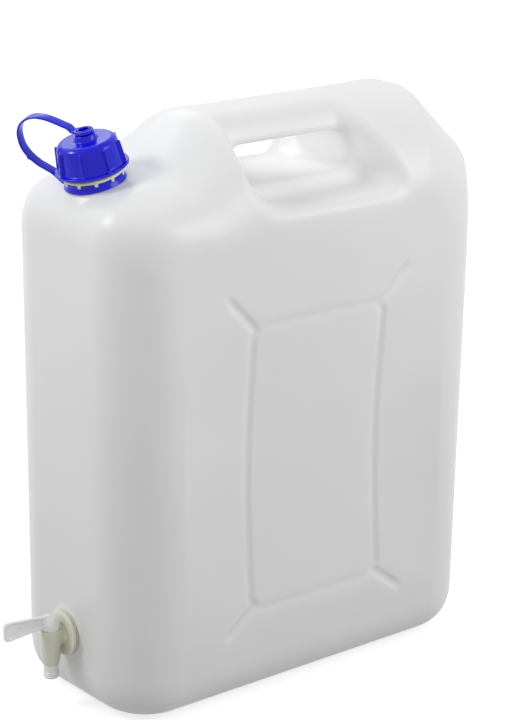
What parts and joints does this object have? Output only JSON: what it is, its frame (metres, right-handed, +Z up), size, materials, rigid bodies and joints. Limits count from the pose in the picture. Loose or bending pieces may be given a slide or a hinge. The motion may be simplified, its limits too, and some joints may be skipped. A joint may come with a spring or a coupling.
{
  "type": "jerrycan with tap",
  "caption": "Upright moulded water container with a grip hole, tethered screw cap on a leaning neck and a quarter-turn tap low on its narrow side.",
  "frame": {"origin": "centre of the flat base, on the surface the container stands on", "axes": "+Z up; X along the broad faces with the neck and the tap at the -X end; Y across the broad faces"},
  "size_m": [0.4067, 0.165, 0.4474],
  "materials": {
    "natural_polyethylene": "satin, translucent",
    "blue_polypropylene": "semi-gloss",
    "seal_foam": "matt",
    "ivory_polyethylene": "satin, translucent",
    "white_acetal": "semi-gloss",
    "grey_rubber": "matt"
  },
  "bodies": {
    "container": {"canister_body": "natural_polyethylene", "tap_barrel": "ivory_polyethylene", "tap_gasket": "grey_rubber", "tap_nut": "ivory_polyethylene"},
    "cap_lift": {"cap_seal": "seal_foam"},
    "cap": {"screw_cap": "blue_polypropylene"},
    "tether": {"tether_collar": "blue_polypropylene", "tether_strap": "blue_polypropylene"},
    "eye": {"tether_eye": "blue_polypropylene"},
    "tap": {"tap_plug": "white_acetal", "tap_o_ring_upper": "grey_rubber", "tap_o_ring_lower": "grey_rubber"}
  },
  "joints": [
    {"name": "cap_rise", "type": "slide", "parent": "container", "child": "cap_lift", "axis": [-0.2419, 0, 0.9703], "range_m": [0, 0.009]},
    {"name": "cap_turn", "type": "hinge", "parent": "cap_lift", "child": "cap", "pos_m": [-0.144, 0, 0.3995], "axis": [-0.2419, 0, 0.9703], "range_deg": [0, 540]},
    {"name": "tether_swivel", "type": "hinge", "parent": "container", "child": "tether", "pos_m": [-0.144, 0, 0.3995], "axis": [-0.2419, 0, 0.9703], "continuous": true},
    {"name": "eye_rise", "type": "slide", "parent": "tether", "child": "eye", "axis": [-0.2419, 0, 0.9703], "range_m": [0, 0.009], "deforming": ["tether_strap"]},
    {"name": "tap_turn", "type": "hinge", "parent": "container", "child": "tap", "pos_m": [-0.1907, 0, 0.0362], "axis": [0, 0, 1], "range_deg": [0, 90]}
  ],
  "couplings": [
    {"joint": "cap_rise", "follows": "cap_turn", "m_per_rad": 0.00095493},
    {"joint": "eye_rise", "follows": "cap_turn", "m_per_rad": 0.00095493}
  ]
}
